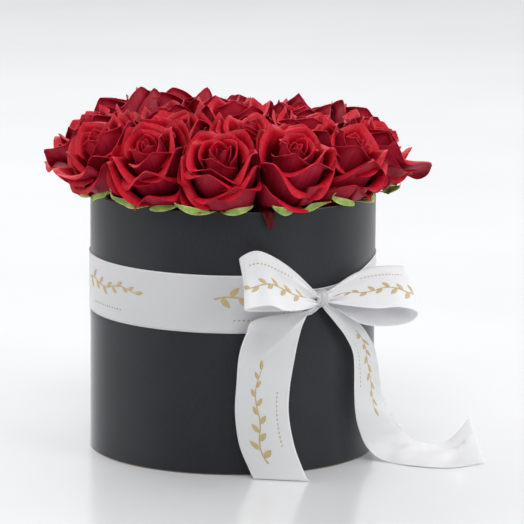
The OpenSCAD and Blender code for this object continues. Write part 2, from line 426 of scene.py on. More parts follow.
class Place:
    """A rose's own frame, read from its joint and its CAD bloom."""

    def __init__(self, number):
        self.name = f"rose_{number:02d}"
        joint = next(j for j in frame["joints"] if j["child"] == self.name)
        self.axis = np.array(joint["axis"], dtype=float)
        self.axis /= np.linalg.norm(self.axis)
        bloom = points_of(self.name + "_bloom")
        stem = points_of(self.name + "_stem")
        self.out = np.array([self.axis[0], self.axis[1], 0.0])
        if np.linalg.norm(self.out) < 1e-6:
            self.out = np.array([0.0, -1.0, 0.0])
        self.side = np.cross(self.axis, self.out)
        self.side /= np.linalg.norm(self.side)
        self.out = np.cross(self.side, self.axis)
        middle = [(bloom @ d).min() / 2 + (bloom @ d).max() / 2 for d in (self.out, self.side)]
        self.radius = ((bloom @ self.side).max() - (bloom @ self.side).min()) / 2
        foot = (bloom @ self.axis).min()
        self.stem = foot - (stem @ self.axis).min()
        self.foot = self.out * middle[0] + self.side * middle[1] + self.axis * foot
        self.outer = math.hypot(self.axis[0], self.axis[1]) > OUTER_LEAN

    def world(self, local):
        """Local (out, side, up) to the model's frame."""
        level = self.foot + local[..., :1] * self.out + local[..., 1:2] * self.side
        return level + local[..., 2:] * self.axis


PLACES = [Place(i + 1) for i in range(ROSES)]


def squeeze(points, place):
    """Presses a bloom's points back from its neighbours, so that the heads pack together and hardly cross."""
    for other in PLACES:
        if other is place or np.linalg.norm(other.foot - place.foot) > NEIGHBOUR_REACH:
            continue
        up = (points - place.foot) @ place.axis
        own = place.foot + up[:, None] * place.axis
        across = own - other.foot
        along = across @ other.axis
        theirs = other.foot + along[:, None] * other.axis
        line = theirs - own
        span = np.linalg.norm(line, axis=1)
        way = line / span[:, None]
        share = place.radius / (place.radius + other.radius)
        limit = span * share - HEAD_GAP
        reach = np.einsum("ij,ij->i", points - own, way)
        knee = SOFT_FROM * limit
        over = np.maximum(reach - knee, 0.0)
        room = limit - knee
        pressed = knee + room * np.tanh(over / room)
        shift = np.where(reach > knee, pressed - reach, 0.0)
        points = points + shift[:, None] * way
    return points


def clear_rim(points, gap):
    """Lifts points that would cut through the top of the box's wall so that they lie over the rim.

    The lowest height is gap above the rim, and less by 10 mm inside the wall and by 5 mm outside it.
    """
    radius = np.linalg.norm(points[..., :2], axis=-1)
    floor = RIM_TOP + gap - 10.0 * MM * (1.0 - smoothstep((radius - 88.0 * MM) / (7.0 * MM)))
    floor = floor - 5.0 * MM * smoothstep((radius - 102.0 * MM) / (10.0 * MM))
    lifted = points.copy()
    low = np.maximum(floor + RIM_EASE - points[..., 2], 0.0)
    lifted[..., 2] = points[..., 2] + low ** 2 / (low + RIM_EASE)
    lifted[..., 2] = np.maximum(lifted[..., 2], floor)
    return lifted


def settle(grid, place, gap):
    """Brings a grid from the rose's own frame to its place among its neighbours and over the rim."""
    return clear_rim(squeeze(place.world(grid).reshape(-1, 3), place).reshape(grid.shape), gap)


def petal_grid(p, rows, columns):
    """One petal in the rose's own frame. Its profile starts at the foot, swells to a belly and rolls back."""
    u = np.linspace(-1.0, 1.0, columns)
    edge = np.abs(u)
    shoulder = np.where(u < 0, p.shoulders[0], p.shoulders[1])
    length = p.length * (1.0 - shoulder * edge ** p.power + p.tip * np.exp(-((u / 0.14) ** 2)))
    up = 1.0 - (1.0 - np.linspace(0.0, 1.0, rows)) ** ROW_CROWDING
    t = up[:, None] * length[None, :]
    part = t / p.length
    lean = p.foot_lean + (p.top_lean - p.foot_lean) * smoothstep(part / p.belly_at)
    sides = np.exp(-((edge - 0.62) / 0.34) ** 2)
    roll_zone = np.minimum(p.roll_length * (0.55 + 0.45 * sides), 0.6 * length)
    roll = p.roll * (0.42 + 0.58 * sides) * np.clip((length / p.length - 0.30) / 0.35, 0.2, 1.0)
    start = length - roll_zone
    lean = lean - roll * smoothstep((t - start) / roll_zone) ** 1.1
    step = np.diff(t, axis=0)
    mean_lean = (lean[1:] + lean[:-1]) / 2
    radius = running(step * np.cos(mean_lean)) + p.foot_radius
    height = running(step * np.sin(mean_lean))
    radius = radius + p.spiral * u[None, :] * smoothstep(part / 0.5)
    radius = radius + p.wave * np.sin(p.waves * pi * u[None, :] + p.phase) * part ** 2
    radius = radius + p.flip * smoothstep((edge[None, :] - 0.72) / 0.28) * part ** 1.5
    angle = p.angle + p.spread * u[None, :] * (1.0 - 0.10 * part) + p.swirl * part
    return polar(radius, angle, height + p.rise), marks(up[:, None], (u + 1) / 2, p.chance)


def solve_foot_lean(length, foot_radius, top_lean, belly, belly_at):
    """The lean at the foot that brings the profile to its belly radius at that part of its length."""
    low, high = radians(-60), radians(100)
    t = np.linspace(0, belly_at, 40)
    for _ in range(30):
        guess = (low + high) / 2
        lean = guess + (top_lean - guess) * smoothstep(t / belly_at)
        reached = foot_radius + np.trapz(np.cos(lean), t) * length
        low, high = (guess, high) if reached > belly else (low, guess)
    return guess


# Layers of petals from the heart out. The columns are the count, the belly radius (mm) at the first and the
# last petal, the lean of the upper part (degrees, 90 is upright), the length (mm), half of the angle it spans
# (degrees), how far the sides drop (share of the length), the roll of the rim (degrees) and its length (mm).
PETAL_LAYERS = [
    (9, (2.2, 9.0), (103, 94), (46, 49), (150, 78), (0.08, 0.20), (5, 45), (2.5, 4.5)),
    (3, (11.2, 12.8), (93, 91), (51, 52), (80, 78), (0.10, 0.18), (55, 85), (5.5, 7.5)),
    (4, (15.2, 17.8), (89, 86), (53, 54), (74, 72), (0.16, 0.28), (90, 125), (9.0, 11.5)),
    (5, (19.6, 22.2), (84, 81), (55, 55), (72, 68), (0.24, 0.34), (125, 150), (12.0, 13.5)),
    (3, (23.0, 24.0), (80, 78), (54, 52), (72, 68), (0.16, 0.24), (100, 125), (9.5, 11.0)),
]
BELLY_AT = 0.53
# Petals that flare out over the rim: rose, angle about its axis (degrees, 0 is outward), lean, length, span.
FLARED_PETALS = [
    (4, -30, 54, 62, 60), (4, -80, 68, 55, 56), (5, -20, 70, 52, 56), (10, 48, 54, 60, 50),
    (10, 8, 54, 54, 44), (10, 95, 66, 52, 52), (11, 8, 62, 56, 52), (9, 15, 68, 52, 52),
    (1, -75, 72, 50, 56), (7, 10, 70, 50, 56),
]


def add_petal(sheets, place, rng, hand, g, order, angle, values):
    """Adds one petal; values are its belly, lean, length, span, drop, roll and roll length."""
    belly, lean, length, spread, drop, roll, roll_length = values
    size = place.radius / HEAD_RADIUS
    length *= MM * size * rng.uniform(0.97, 1.03)
    belly_at = np.interp(g, [0, 0.5, 1.0], [0.62, 0.58, BELLY_AT])
    foot_radius = (1.0 + 1.8 * g) * MM
    tilt = rng.uniform(-0.12, 0.12) * (order > 1) + rng.choice((-0.11, 0.11)) * (order > 2)
    petal = SimpleNamespace(
        length=length,
        shoulders=(drop + tilt, drop - tilt),
        power=np.interp(g, [0, 0.35, 1.0], [2.4, 2.0, 1.6]) * rng.uniform(0.9, 1.1),
        tip=np.interp(g, [0, 0.3, 1.0], [0.01, 0.02, 0.05]) * rng.uniform(0.4, 1.5),
        foot_radius=foot_radius,
        belly_at=belly_at,
        top_lean=radians(lean),
        foot_lean=solve_foot_lean(length, foot_radius, radians(lean), belly * MM * size, belly_at),
        roll=radians(roll * rng.uniform(0.75, 1.12)),
        roll_length=roll_length * MM * size * rng.uniform(0.85, 1.15),
        spiral=hand * np.interp(g, [0, 0.2, 1.0], [0.9, 1.0, 1.6]) * MM,
        wave=np.interp(g, [0, 0.4, 1.0], [0.1, 0.4, 1.1]) * MM * rng.uniform(0.4, 1.2),
        waves=rng.uniform(1.0, 2.2),
        phase=rng.uniform(0, 6.28),
        flip=np.interp(g, [0, 0.3, 1.0], [0.0, 0.3, 1.5]) * MM * rng.uniform(0.2, 1.2),
        angle=angle,
        spread=radians(spread * rng.uniform(0.94, 1.06)),
        swirl=hand * np.interp(g, [0, 0.2, 0.5, 1.0], [0.9, 0.5, 0.1, 0.0]),
        rise=(0.3 - 1.6 * g ** 2) * MM,
        chance=rng.random(),
    )
    rows, columns = (28, 23) if order else (18, 25)
    grid, colour = petal_grid(petal, rows, columns)
    moved = settle(grid, place, PETAL_OVER_RIM)
    sheets.add(moved, PETAL_THICK, colour, -grid_normals(moved))


def bloom(place, seed):
    """All the petals of one rose, spiralling out from its heart."""
    rng = random.Random(seed)
    sheets = Sheets()
    turn = rng.uniform(0, 2 * pi)
    hand = 1 if rng.random() < 0.5 else -1
    openness = rng.uniform(-3.0, 3.0)
    total = sum(layer[0] for layer in PETAL_LAYERS)
    number = 0
    for order, (count, *spans) in enumerate(PETAL_LAYERS):
        for k in range(count):
            values = [a + (b - a) * k / (count - 1) for a, b in spans]
            g = number / (total - 1)
            number += 1
            if order == 0:
                angle = turn + hand * k * GOLDEN
            else:
                angle = turn + hand * (order * 0.9 + k * 2 * pi / count * (2 if count == 5 else 1))
            flare = rng.uniform(6, 16) if order >= 3 and rng.random() < 0.2 else 0.0
            values[1] += rng.uniform(-3, 3) - openness * (order > 1) - flare
            add_petal(sheets, place, rng, hand, g, order, angle + rng.uniform(-0.18, 0.18), values)
    for rose, angle, lean, length, spread in FLARED_PETALS:
        if place.name == f"rose_{rose:02d}":
            values = (23.5, lean, length, spread, 0.16, 95, 12.0)
            add_petal(sheets, place, rng, hand, 1.0, 4, radians(angle), values)
    HEADS.append(np.concatenate(sheets.points))
    piece = sheets.build(place.name + "_petals", [PETALS])
    declare(piece, place.name + "_bloom", place.name)


HEADS = []
for number, spot in enumerate(PLACES):
    bloom(spot, PETAL_SEED + number)

# ---- stems, hips and sepals

HIP_RADIUS = 5.52 * MM
HIP_HEIGHT = 9.0 * MM
SEPAL_THICK = 0.5 * MM
# The values painted on stems and hips: the second puts them between the sepals' rib and edge.
STEM_MARKS = (0.0, 0.3, 0.0, 1.0)
# The radius, in metres, at which the outer sepals' steps along the rim are measured.
RIM_LINE = 0.104
# The sepals' clearance from the petals above them, in millimetres.
SEPAL_GAP = 1.9


def turned(place, profile, sides, wobble):
    """The points and faces of a closed turned form along the rose's axis, from (radius, height) rings."""
    angle = np.linspace(0, 2 * pi, sides, endpoint=False)
    rings = [polar(radius, angle, np.full(sides, height)) + (*wobble(height), 0.0)
             for radius, height in profile]
    index = np.arange(len(profile) * sides).reshape(-1, sides)
    low, high = index[:-1], index[1:]
    faces = np.stack([low, np.roll(low, -1, axis=1), np.roll(high, -1, axis=1), high], axis=-1)
    faces = faces.reshape(-1, 4).tolist() + [index[0, ::-1].tolist(), index[-1].tolist()]
    return place.world(np.concatenate(rings)), faces


def cup_line():
    """The underside of an outermost petal, in millimetres from the foot of a head of usual size."""
    belly, lean, length = (PETAL_LAYERS[-1][column][1] for column in (1, 2, 3))
    lean, foot_radius, foot_height, share, count = radians(lean), 2.8, -1.3, 0.72, 60
    foot = solve_foot_lean(length, foot_radius, lean, belly, BELLY_AT)
    at = foot + (lean - foot) * smoothstep(np.linspace(0, share, count) / BELLY_AT)
    step = length * share / (count - 1)
    radius = foot_radius + running(step * np.cos(at[1:]))
    height = foot_height + running(step * np.sin(at[1:]))
    radius, height = radius + SEPAL_GAP * np.sin(at), height - SEPAL_GAP * np.cos(at)
    return np.stack([radius, height], axis=-1)[14::5]


CUP_LINE = cup_line()


def rim_outline():
    """The petals near the rim as azimuth, height and radius, which the outer sepals lie over."""
    points = np.concatenate(HEADS)
    radius = np.hypot(points[:, 0], points[:, 1])
    near = (radius > 94 * MM) & (points[:, 2] < 212 * MM)
    points, radius = points[near], radius[near]
    return np.arctan2(points[:, 1], points[:, 0]), points[:, 2], radius


RIM_OUTLINE = rim_outline()


def smoothed(values, reach):
    """Each value's mean with that many neighbours on either side."""
    wide = 2 * reach + 1
    return np.convolve(np.pad(values, reach, mode="edge"), np.ones(wide) / wide, mode="valid")


def rim_sepal(place, rng, start, drift, rise, curl):
    """A slim sepal that comes out over the rim and hugs the petals; start and drift run along the rim."""
    rows, columns = 34, 7
    azimuth = math.atan2(place.out[1], place.out[0])
    t = np.linspace(0, 1, rows)
    turn = azimuth + (start * smoothstep(t / 0.3) + drift * smoothstep((t - 0.12) / 0.88)) / RIM_LINE
    height = np.where(t < 0.3, np.interp(t, [0, 0.3], [182.6, 183.4]) * MM,
                      183.4 * MM + rise * np.maximum((t - 0.3) / 0.7, 0.0) ** 1.7)
    radius = np.interp(t, [0, 0.3], [82 * MM, 101.6 * MM])
    around, high, far = RIM_OUTLINE
    for i in range(rows):
        if t[i] > 0.3:
            off = np.abs((around - turn[i] + pi) % (2 * pi) - pi) * RIM_LINE
            close = (off < 3.5 * MM) & (np.abs(high - height[i]) < 3.0 * MM)
            radius[i] = max(102.4 * MM, far[close].max() + 1.8 * MM if close.any() else 0.0)
    radius = np.minimum(radius, 107.0 * MM + (0.85 * rise + 4.0 * MM) * smoothstep((t - 0.3) / 0.4))
    radius = smoothed(radius, 3) + curl * np.maximum(t - 0.6, 0.0) ** 2 / 0.16
    line = polar(radius, turn, height)
    lean = smoothstep((t - 0.18) / 0.25)[:, None]
    face = lean * polar(1.0, turn, np.zeros(rows)) + (1 - lean) * np.array([0, 0, 1.0])
    wide_way = np.cross(np.gradient(line, axis=0), face)
    wide_way /= np.linalg.norm(wide_way, axis=1, keepdims=True)
    wide = np.interp(t, [0, 0.24, 0.34, 0.50, 0.62, 0.80, 0.92, 1.0],
                     [0.8, 0.8, 1.1, 2.6, 2.7, 1.4, 0.5, 0.1])
    wide = smoothed(wide, 2) * rng.uniform(0.8, 1.1) * MM
    u = np.linspace(-1, 1, columns)
    cup = 0.7 * MM * (np.abs(u) ** 1.6)[None, :] * np.sin(pi * t)[:, None]
    return line[:, None] + wide_way[:, None] * (wide[:, None] * u)[..., None] - face[:, None] * cup[..., None]


def sepal_grid(place, rng, angle, reach, curl):
    """A pointed sepal that starts at the hip, hugs the underside of the head and turns its tip out."""
    rows, columns = 22, 7
    size = place.radius / HEAD_RADIUS
    t = np.linspace(0, 1, rows)
    knots = np.concatenate([[[3.0, -5.5], [6.5, -3.2]], CUP_LINE])
    run = running(np.linalg.norm(np.diff(knots, axis=0), axis=1))
    far = t * reach * run[-1]
    radius = np.interp(far, run, knots[:, 0]) * size
    height = np.interp(far, run, knots[:, 1]) * size
    away = np.maximum(t - 0.40, 0.0) ** 2 * curl
    radius, height = radius + away * 0.9, height - away * 0.1
    wide = 4.2 * size * np.sin(pi * (0.16 + 0.84 * t) ** 0.72) ** 0.85 + 0.12
    u = np.linspace(-1, 1, columns)
    twist = rng.uniform(-0.5, 0.5) * t ** 1.5
    side = wide[:, None] * u[None, :]
    cup = 0.9 * (np.abs(u) ** 1.6)[None, :] * np.sin(pi * t)[:, None]
    across = angle + twist[:, None] + side / np.maximum(radius, 9.0)[:, None]
    ring = radius[:, None] - 0.35 * cup
    return polar(ring, across, height[:, None] + cup) * MM


def greens(place, seed):
    """One rose's stem, hip and five sepals."""
    rng = random.Random(seed)
    bend = rng.uniform(0.2, 0.5) * MM
    phase = radians(36) + rng.uniform(-0.25, 0.25)
    long = place.stem

    def wobble(height):
        part = np.clip(-height / long, 0, 1)
        return bend * math.sin(phase + 5 * part) * part, bend * math.cos(phase + 4 * part) * part

    profile = [(1.9 * MM, -long), (2.5 * MM, -long + 0.9 * MM)]
    rings = 39
    for k in range(1, rings + 1):
        down = long - 1.0 * MM - (long - HIP_HEIGHT - 3.0 * MM) * k / rings
        knuckle = 0.14 * MM * math.exp(-((k - 13) / 1.1) ** 2) + 0.12 * MM * math.exp(-((k - 28) / 1.1) ** 2)
        profile.append((2.5 * MM + knuckle, -down))
    for share, tall in ((0.50, 1.0), (0.66, 0.86), (0.85, 0.68), (0.97, 0.48), (1.0, 0.30), (0.94, 0.12),
                        (0.80, 0.0)):
        profile.append((HIP_RADIUS * share, -HIP_HEIGHT * tall))
    points, faces = turned(place, profile, 18, wobble)
    sheets = Sheets()
    for k in range(5):
        angle = phase + k * 2 * pi / 5 + rng.uniform(-0.2, 0.2)
        wild = rng.random() < 0.22
        reach = rng.uniform(0.72, 1.0)
        curl = rng.uniform(24, 40) if wild else rng.uniform(2, 9)
        if place.outer and k in (0, 4):
            side = 1 if k == 0 else -1
            drift = side * rng.uniform(11, 25) * MM
            rise, curl = rng.uniform(2, 11) * MM, rng.choice([0.0, 1.5, 3.0, 9.0]) * MM
            grid = rim_sepal(place, rng, side * rng.uniform(0, 5) * MM, drift, rise, curl)
        else:
            grid = settle(sepal_grid(place, rng, angle, reach, curl), place, SEPAL_OVER_RIM)
        up, across = np.linspace(0, 1, len(grid)), np.linspace(-1, 1, grid.shape[1])
        sheets.add(grid, SEPAL_THICK, marks(up[:, None], np.abs(across), rng.random()), grid_normals(grid))
    start = len(points)
    all_points = np.concatenate([points] + sheets.points)
    all_faces = faces + [tuple(i + start for i in f) for f in sheets.faces]
    piece = add_object(place.name + "_greens", all_points, all_faces, [GREENS])
    paint(piece, np.concatenate([np.tile(STEM_MARKS, (start, 1))] + sheets.colours))
    declare(piece, place.name + "_stem", place.name)


for number, spot in enumerate(PLACES):
    greens(spot, GREENS_SEED + number)


def fallen_petal():
    """A small dark petal that has slipped out between two heads and hangs over the rim."""
    rows, columns = 16, 11
    t = np.linspace(0, 1, rows)[:, None]
    u = np.linspace(-1, 1, columns)[None, :]
    at = radians(-113.5)
    wide = (0.9 + 3.3 * np.sin(pi * (0.06 + 0.86 * t) ** 0.9)) * MM
    line = np.array([[95.0, 184.6], [97.6, 182.9], [100.2, 182.8], [101.7, 180.8], [103.2, 177.0],
                     [103.9, 171.6]])
    place = np.linspace(0, 1, len(line))
    radius = np.interp(t, place, line[:, 0]) * MM + 0.7 * MM * u ** 2 + 0.3 * MM * np.sin(5 * u + 6 * t)
    height = np.interp(t, place, line[:, 1]) * MM - 0.9 * MM * np.cos(pi * u) * t ** 3
    angle = at + wide * u / radius + 0.03 * t
    grid = polar(radius, angle, height)
    # Its marks take the low end of the petal ramp, the painted shade of a petal's foot, which makes it dark.
    colours = marks(0.10 + 0.22 * t, (u + 1) / 2, 0.4)
    sheets = Sheets()
    sheets.add(grid, PETAL_THICK, colours, -grid_normals(grid))
    piece = sheets.build("fallen_petal_sheet", [PETALS])
    declare(piece, "fallen_petal", "insert")


fallen_petal()

# ---- ribbon

# The ribbon's two edges at stations along each stretch, in millimetres, as in the CAD: each row is a point on
# the first edge and its partner on the second.
LEFT_LOOP = [
    [-5, -108, 124, -5, -108.5, 119], [-10, -109, 127, -10, -110, 117], [-28, -109, 143, -28, -119, 118],
    [-44, -109, 154, -45, -123, 120], [-58, -107, 160, -61, -126, 126], [-67, -102, 156, -75, -120, 124],
    [-64, -98, 151, -70, -113, 121], [-53, -97, 145, -57, -111, 119], [-37, -101, 135, -38, -110, 117],
    [-22, -104, 127, -22, -107, 116], [-10, -105, 124, -10, -106, 117], [-5, -106, 123, -5, -106.5, 119],
]
RIGHT_LOOP = [
    [-2, -108, 124, -2, -108.5, 119], [3, -109, 127, 3, -110, 118], [24, -106, 135, 12, -121, 117],
    [43, -104, 138, 28, -129, 115], [60, -103, 137, 47, -131, 114], [74, -100, 134, 67, -125, 107],
    [70, -95, 129, 66, -118, 99], [54, -96, 125, 48, -117, 98], [38, -99, 123, 28, -114, 101],
    [20, -103, 122, 14, -110, 109], [3, -105, 123, 3, -106, 116], [-2, -106, 123, -2, -106.5, 119],
]
LEFT_TAIL = [
    [-6, -104.5, 116, -4, -107, 116], [-12, -104, 114, -7, -107, 114], [-50, -96.5, 110.5, -21, -112, 108],
    [-56, -93.5, 101, -27, -114, 98], [-61, -92, 86, -30, -113, 82], [-63, -92, 66, -35, -115, 64],
    [-64, -92, 46, -37, -117, 46], [-61, -93, 24, -34, -120, 24], [-55, -97, 6, -28, -124, 5],
    [-53, -99, 0.4, -26, -126, 0.4],
]
RIGHT_TAIL = [
    [-3, -107, 118, 1, -105.5, 118], [0, -107, 114, 6, -106, 115], [10, -108, 102, 31, -104, 101],
    [20, -106, 91, 49, -97, 84], [28, -104, 77, 60, -89, 70], [29, -104, 52, 66, -88, 43],
    [30, -104, 38, 72, -92, 28], [34, -103, 25, 79, -93, 19], [42, -103, 10, 83, -93, 14],
    [52, -110, 0.8, 86, -97, 10], [60, -130, 0.5, 93, -109, 7], [77, -150, 0.5, 100, -121, 12],
    [106, -153, 0.5, 110, -131, 28],
]
KNOT_AT = np.array([-3.5, -107.2, 121.5]) * MM
KNOT_TURN = 28.0 * MM
BAND_RADIUS = 100.55 * MM
BAND_HEIGHT = 119.0 * MM
RIBBON_WIDE = 40.0 * MM
RIBBON_THICK = 0.34 * MM
PRINT_THICK = 0.07 * MM
PRINT_LIFT = 0.05 * MM
# Prints stay this far from a stretch's ends.
PRINT_MARGIN = 0.5 * MM
BAND_MOTIFS = 5
FIRST_BAND_MOTIF = 0.054
KNOT_THICK = 0.26 * MM
# The height of the ridge down the left tail.
TAIL_RIDGE = -4.5 * MM
# The reach of the pleats from the knot.
PLEAT_REACH = 15.0 * MM
MOTIF_LENGTH = 66.0 * MM


def smooth_line(stations, count):
    """Catmull-Rom through the stations, resampled at even distances along the middle of the ribbon."""
    points = np.array(stations, dtype=float).reshape(-1, 2, 3) * MM
    padded = np.concatenate([2 * points[:1] - points[1:2], points, 2 * points[-1:] - points[-2:-1]])
    fine = []
    for i in range(len(points) - 1):
        p0, p1, p2, p3 = padded[i:i + 4]
        for t in np.linspace(0, 1, 24, endpoint=False):
            fine.append(0.5 * (2 * p1 + (p2 - p0) * t + (2 * p0 - 5 * p1 + 4 * p2 - p3) * t ** 2
                               + (3 * p1 - p0 - 3 * p2 + p3) * t ** 3))
    fine = np.array(fine + [points[-1]])
    middle = fine.mean(axis=1)
    run = running(np.linalg.norm(np.diff(middle, axis=0), axis=1))
    even = np.linspace(0, run[-1], count)
    flat = fine.reshape(len(fine), -1)
    picked = np.stack([np.interp(even, run, flat[:, k]) for k in range(flat.shape[1])], axis=1)
    return picked.reshape(count, *fine.shape[1:]), even


class Stretch:
    """A stretch of ribbon as a grid of points: rows run along it and columns across it."""

    def __init__(self, grid, run):
        self.grid, self.run = grid, run
        self.normals = grid_normals(grid)

    def at(self, along, across):
        """Points and normals at distances along it (metres) and across it (0 to 1)."""
        rows, columns = self.grid.shape[:2]
        i = np.interp(along, self.run, np.arange(rows))
        j = np.clip(across, 0.0, 1.0) * (columns - 1)
        i0 = np.minimum(i.astype(int), rows - 2)
        j0 = np.minimum(j.astype(int), columns - 2)
        fi, fj = (i - i0)[..., None], (j - j0)[..., None]

        def pick(table):
            top = table[i0, j0] * (1 - fj) + table[i0, j0 + 1] * fj
            low = table[i0 + 1, j0] * (1 - fj) + table[i0 + 1, j0 + 1] * fj
            return top * (1 - fi) + low * fi

        normal = pick(self.normals)
        return pick(self.grid), normal / np.linalg.norm(normal, axis=-1, keepdims=True)

    def colours(self, chance):
        """Marks for its material, with distances along it in tenths of a metre."""
        return marks(self.run[:, None] * 10.0, np.linspace(0, 1, self.grid.shape[1]), chance)


def motif_shapes():
    """The printed motif as small grids of (along, across) in metres: a wavy branch, leaves and dots."""
    shapes = []
    t = np.linspace(0.0, 1.0, 34)
    r = np.linspace(0.0, 1.0, 11)

    def wave(x):
        return 3.6 * MM + 1.7 * MM * np.sin(x / (0.155 * MOTIF_LENGTH) * pi / 2)

    line = np.stack([t * MOTIF_LENGTH, wave(t * MOTIF_LENGTH)], axis=-1)
    half = (0.62 * MM * (1.0 - 0.55 * t))[:, None]
    shapes.append(np.stack([line + half * (0, 1), line, line - half * (0, 1)], axis=1))
    for k in range(10):
        x = MOTIF_LENGTH * (0.07 + 0.093 * k)
        side = 1 if k % 2 else -1
        angle = side * radians(52 - 2 * k)
        size = (10.0 - 0.45 * k) * MM
        way = np.array([math.cos(angle), math.sin(angle)])
        across = np.array([-way[1], way[0]])
        width = 0.20 * size * np.sin(pi * r ** 0.85) ** 0.8 + 0.04 * MM
        spine = np.array([x, wave(x)]) + (r * size)[:, None] * way
        spine = spine + (0.10 * size * r ** 2 * side)[:, None] * (0, -1)
        shapes.append(np.stack([spine + width[:, None] * across * c for c in (1, 0.5, 0, -0.5, -1)], axis=1))
    tip = np.array([MOTIF_LENGTH, wave(MOTIF_LENGTH)])
    width = 1.3 * MM * np.sin(pi * r ** 0.85) + 0.04 * MM
    spine = tip + (r * 7.5 * MM)[:, None] * (1.0, 0.15)
    shapes.append(np.stack([spine + width[:, None] * np.array([0, c]) for c in (1, 0, -1)], axis=1))
    for k in range(13):
        middle = np.array([(14.0 + 3.1 * k) * MM, -11.0 * MM])
        long, wide = (1.15, 0.55) if k % 3 else (0.75, 0.75)
        corner = [(-long, 0), (0, wide), (long, 0), (0, -wide)]
        a, b, c, d = (middle + np.array(p) * MM for p in corner)
        shapes.append(np.stack([np.stack([a, b]), np.stack([d, c])]))
    return shapes


MOTIF = motif_shapes()


def add_motif(sheets, stretch, start, side, back, over):
    """Lays a motif on one side of a stretch, at a distance along it.

    back runs it towards the stretch's start, and over is -1 to turn it upside down.
    """
    for shape in MOTIF:
        along = start + (MOTIF_LENGTH - shape[..., 0] if back else shape[..., 0])
        across = 0.5 + over * shape[..., 1] / RIBBON_WIDE
        if along.min() < stretch.run[0] + PRINT_MARGIN or along.max() > stretch.run[-1] - PRINT_MARGIN:
            continue
        points, normals = stretch.at(along, across)
        points = points + normals * side * (RIBBON_THICK / 2 + PRINT_LIFT)
        sheets.add(points, PRINT_THICK, np.zeros(points.shape), normals * side, slot=1)


def pleats(run, across, knots, seed, deep):
    """Heights of the folds that fan out from the knot; knots are the distances of the knotted ends."""
    rng = random.Random(seed)
    near = np.minimum.reduce([np.abs(run - k) for k in knots])
    fade = np.exp(-((near / PLEAT_REACH) ** 1.2))[:, None]
    slow = np.exp(-((near / (3.2 * PLEAT_REACH)) ** 1.5))[:, None]
    total = np.zeros((len(run), len(across)))
    for share, turns in ((0.75, 2.2), (0.6, 3.4), (0.35, 5.1)):
        total += share * np.sin(2 * pi * turns * across[None, :] + rng.uniform(0, 6.28)
                                + rng.uniform(-22, 22) * run[:, None])
    broad = np.sin(2 * pi * 1.15 * across[None, :] + rng.uniform(0, 6.28)
                   + rng.uniform(-14, 14) * run[:, None])
    return deep * (total * fade + 0.55 * broad * slow)


def add_ribbon(node, stretch, chance, prints, thick=RIBBON_THICK):
    """Builds a stretch of ribbon with its prints for a CAD node."""
    sheets = Sheets()
    sheets.add(stretch.grid, thick, stretch.colours(chance), stretch.normals)
    for motif in prints:
        add_motif(sheets, stretch, *motif)
    piece = sheets.build(node + "_cloth", [SATIN, PRINT])
    declare(piece, node, "box")


def tail_crease(run, across):
    """The ridge that runs down the left tail from its inner edge, where it turns over the band."""
    line = 1.0 - 0.66 * smoothstep((run - 24.0 * MM) / (46.0 * MM))
    fade = smoothstep((run - 14.0 * MM) / (14.0 * MM)) * (1.0 - smoothstep((run - 52.0 * MM) / (38.0 * MM)))
    ridge = np.exp(-np.abs(across[None, :] - line[:, None]) / 0.22)
    return TAIL_RIDGE * ridge * fade[:, None]


# Each bow piece: its node, stations, rows, columns, knotted ends as shares of its length, pleat depth (mm),
# arch (mm), seed, and prints as the last four arguments of add_motif.
BOW = [
    ("bow_loop_left", LEFT_LOOP, 150, 31, (0.0, 1.0), 1.7, 0.8, 1, [(0.016, -1, False, 1)]),
    ("bow_loop_right", RIGHT_LOOP, 150, 31, (0.0, 1.0), 1.6, 0.8, 2, [(0.014, 1, True, 1)]),
    ("tail_left", LEFT_TAIL, 120, 27, (0.0,), 1.4, 0.0, 3, [(0.068, -1, True, -1)]),
    ("tail_right", RIGHT_TAIL, 160, 27, (0.0,), 1.3, 0.0, 4, [(0.036, -1, False, 1), (0.130, 1, False, 1)]),
]


def loops_and_tails():
    """The bow's two loops and two tails."""
    for node, stations, rows, columns, knots, deep, arch, seed, prints in BOW:
        ends, run = smooth_line(stations, rows)
        across = np.linspace(0, 1, columns)
        height = arch * MM * np.sin(pi * run / run[-1])[:, None] * np.sin(pi * across)[None, :]
        height = height + pleats(run, across, [share * run[-1] for share in knots], seed, deep * MM)
        if node == "tail_left":
            height = height + tail_crease(run, across)
        flat = ends[:, :1] + (ends[:, 1:] - ends[:, :1]) * across[None, :, None]
        stretch = Stretch(flat + grid_normals(flat) * height[..., None], run)
        add_ribbon(node, stretch, seed / 7.0, prints)


def band():
    """The ribbon round the box: flat against the paper, drawn together where it runs into the knot."""
    rows, columns = 360, 21
    knot = math.atan2(KNOT_AT[1], KNOT_AT[0])
    turn = np.linspace(0.0, 2 * pi, rows)
    away = np.minimum(turn, 2 * pi - turn)
    reach = np.where(turn < pi, radians(50), radians(24))
    gather = 1.0 - smoothstep(away / reach)
    across = np.linspace(0, 1, columns)
    middle = BAND_HEIGHT + (KNOT_AT[2] - BAND_HEIGHT) * gather
    half = RIBBON_WIDE / 2 * (1.0 - 0.70 * gather)
    height = middle[:, None] + half[:, None] * (1 - 2 * across[None, :])
    folds = sum(share * np.sin(2 * pi * turns * across[None, :] + phase)
                for share, turns, phase in ((0.5, 2.6, 0.4), (0.4, 4.2, 2.0)))
    slack = 0.10 * MM * (1 + np.sin(5 * turn + 0.7) * np.sin(2 * turn))[:, None]
    radius = BAND_RADIUS + slack + 1.3 * MM * gather[:, None] ** 1.5 * (1.0 + folds)
    stretch = Stretch(polar(radius, (knot + turn)[:, None], height), turn * BAND_RADIUS)
    step = stretch.run[-1] / BAND_MOTIFS
    prints = [(FIRST_BAND_MOTIF + step * k, 1, False, -1) for k in range(BAND_MOTIFS)]
    add_ribbon("ribbon_band", stretch, 0.9, prints)


